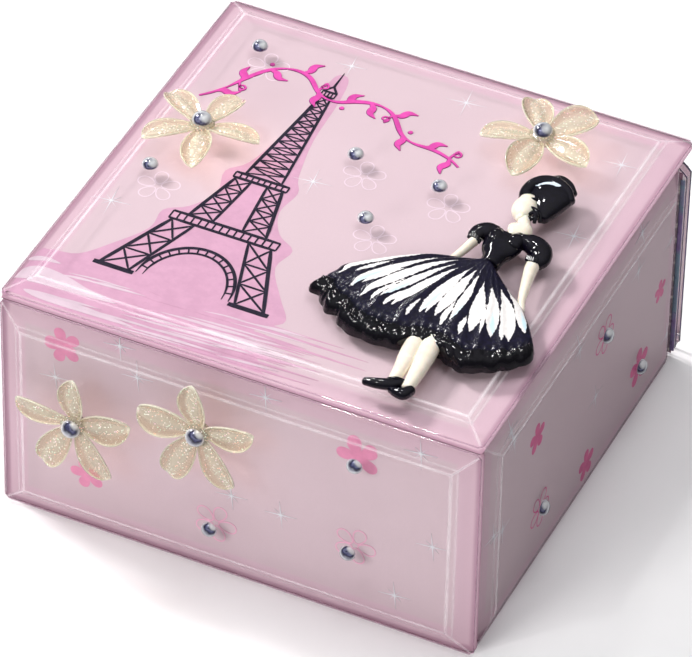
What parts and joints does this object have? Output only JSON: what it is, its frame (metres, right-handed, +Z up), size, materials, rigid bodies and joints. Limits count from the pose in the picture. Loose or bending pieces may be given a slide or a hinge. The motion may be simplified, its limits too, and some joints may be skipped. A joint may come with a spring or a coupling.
{
  "type": "ballerina jewellery box",
  "caption": "Square musical jewellery box of bevelled glass over printed sheets, with a hinged mirror lid, applied blossoms, gems and figure, a fold-down dancer and a wind-up movement.",
  "frame": {"origin": "bottom centre of the bounding box, on the plane the felt base stands on", "axes": "+Z up, -Y towards the front, +X to the right seen from the front"},
  "size_m": [0.16, 0.162, 0.0921],
  "materials": {
    "bevelled_glass": "polished, bevelled",
    "printed_sheet": "satin printed sheet bonded behind the glass",
    "carcass_board": "board wrapped in pink paper, flocked inside",
    "base_felt": "felt",
    "flocked_tray": "flocked",
    "velvet_cushion": "velvet",
    "mirror": "silvered",
    "steel": "bright",
    "brass": "satin",
    "gem": "foil-backed domed acrylic",
    "resin_flower": "milky clear resin with fine glitter",
    "figure_enamel": "cast resin under glossy hand-painted enamel",
    "dancer_plastic": "moulded, painted",
    "turntable_plastic": "moulded"
  },
  "bodies": {
    "case": {"front_glass": "bevelled_glass", "rear_glass": "bevelled_glass", "left_glass": "bevelled_glass", "right_glass": "bevelled_glass", "front_print": "printed_sheet", "rear_print": "printed_sheet", "left_print": "printed_sheet", "right_print": "printed_sheet", "front_wall": "carcass_board", "rear_wall": "carcass_board", "left_wall": "carcass_board", "right_wall": "carcass_board", "base_board": "carcass_board", "base_felt": "base_felt", "deck_tray": "flocked_tray", "ring_cushion": "velvet_cushion", "hinge_left_body_leaf": "brass", "hinge_left_pin": "steel", "hinge_right_body_leaf": "brass", "hinge_right_pin": "steel", "front_gem_1": "gem", "front_gem_2": "gem", "front_gem_3": "gem", "right_gem_1": "gem", "right_gem_2": "gem", "right_gem_3": "gem", "left_gem_1": "gem", "left_gem_2": "gem", "left_gem_3": "gem", "front_flower_left": "resin_flower", "front_flower_left_gem": "gem", "front_flower_right": "resin_flower", "front_flower_right_gem": "gem", "music_bedplate": "brass", "music_comb": "steel"},
    "lid": {"lid_glass": "bevelled_glass", "lid_print": "printed_sheet", "lid_board": "carcass_board", "lid_mirror": "mirror", "hinge_left_lid_leaf": "brass", "hinge_right_lid_leaf": "brass", "lid_gem_1": "gem", "lid_gem_2": "gem", "lid_gem_3": "gem", "lid_gem_4": "gem", "lid_gem_5": "gem", "lid_flower_left": "resin_flower", "lid_flower_left_gem": "gem", "lid_flower_right": "resin_flower", "lid_flower_right_gem": "gem", "lid_figure": "figure_enamel"},
    "turntable": {"dancer_turntable": "turntable_plastic", "dancer_gear": "brass"},
    "dancer": {"dancer_figure": "dancer_plastic"},
    "barrel": {"spring_barrel": "brass", "mainspring": "steel"},
    "key": {"winding_key": "brass"},
    "drum": {"music_drum": "brass"},
    "fly": {"governor_fly": "steel"},
    "brake_rod": {"stop_rod": "steel"}
  },
  "joints": [
    {"name": "lid_hinge", "type": "hinge", "parent": "case", "child": "lid", "pos_m": [0, 0.0795, 0.0766], "axis": [-1, 0, 0], "range_deg": [0, 100]},
    {"name": "turntable_spin", "type": "hinge", "parent": "case", "child": "turntable", "pos_m": [0, 0.025, 0.046], "axis": [0, 0, 1], "continuous": true},
    {"name": "dancer_fold", "type": "hinge", "parent": "turntable", "child": "dancer", "pos_m": [0, 0.025, 0.0575], "axis": [-1, 0, 0], "range_deg": [0, 90]},
    {"name": "barrel_spin", "type": "hinge", "parent": "case", "child": "barrel", "pos_m": [-0.024, 0.025, 0.022], "axis": [0, 0, 1], "continuous": true},
    {"name": "drum_spin", "type": "hinge", "parent": "case", "child": "drum", "pos_m": [-0.024, 0.048, 0.0348], "axis": [0, 1, 0], "continuous": true},
    {"name": "fly_spin", "type": "hinge", "parent": "case", "child": "fly", "pos_m": [-0.014, 0.062, 0.0348], "axis": [0, 1, 0], "continuous": true},
    {"name": "winding_key_turn", "type": "hinge", "parent": "case", "child": "key", "pos_m": [-0.024, 0.025, 0.008], "axis": [0, 0, 1], "continuous": true},
    {"name": "stop_rod_slide", "type": "slide", "parent": "case", "child": "brake_rod", "axis": [0, 0, 1], "range_m": [0, 0.0025]}
  ],
  "couplings": [
    {"joint": "dancer_fold", "follows": "lid_hinge", "ratio": 0.9},
    {"joint": "stop_rod_slide", "follows": "lid_hinge", "m_per_rad": 0.0014},
    {"joint": "turntable_spin", "follows": "barrel_spin", "ratio": -2},
    {"joint": "drum_spin", "follows": "barrel_spin", "ratio": 1.6},
    {"joint": "fly_spin", "follows": "barrel_spin", "ratio": -4.8}
  ]
}
